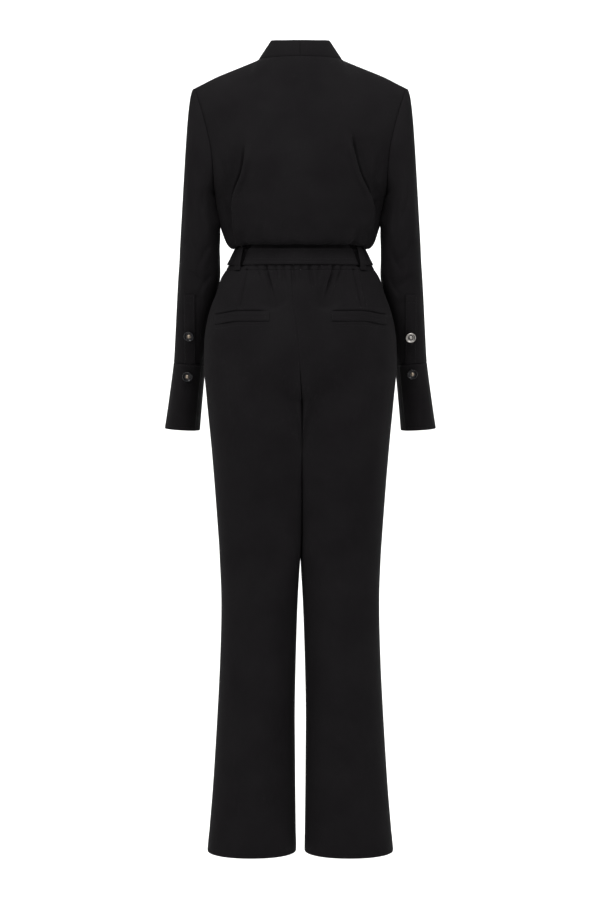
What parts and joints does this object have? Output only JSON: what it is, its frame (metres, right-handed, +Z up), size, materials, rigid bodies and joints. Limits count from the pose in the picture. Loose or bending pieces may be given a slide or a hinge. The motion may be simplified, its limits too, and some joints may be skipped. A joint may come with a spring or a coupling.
{
  "type": "long-sleeved jumpsuit",
  "caption": "A woman's one-piece suit of bloused bodice, long cuffed sleeves, belted waist and long straight trousers, filled out as if worn.",
  "frame": {"origin": "midway between the neck ends of the two shoulder seams, where the wearer's shoulders carry the garment", "axes": "+Z up to the head, the front of the wearer faces -Y, +X is the wearer's left"},
  "size_m": [0.5132, 0.2872, 1.4962],
  "materials": {
    "suiting": "matt woven crepe suiting, dyed black",
    "button": "polished black polyester resin with a small metal dome"
  },
  "bodies": {
    "root": {"back_bodice": "suiting", "front_bodice_left": "suiting", "front_bodice_right": "suiting", "neckband_left": "suiting", "neckband_right": "suiting", "sleeve_left": "suiting", "sleeve_right": "suiting", "cuff_left": "suiting", "cuff_right": "suiting", "placket_left": "suiting", "placket_right": "suiting", "waistband": "suiting", "belt": "suiting", "belt_loop_back_left": "suiting", "belt_loop_back_right": "suiting", "belt_loop_front_left": "suiting", "belt_loop_front_right": "suiting", "back_leg_left": "suiting", "back_leg_right": "suiting", "front_leg_left": "suiting", "front_leg_right": "suiting", "pocket_welt_left": "suiting", "pocket_welt_right": "suiting", "placket_button_left": "button", "placket_button_right": "button", "cuff_button_left": "button", "cuff_button_right": "button"}
  },
  "joints": []
}
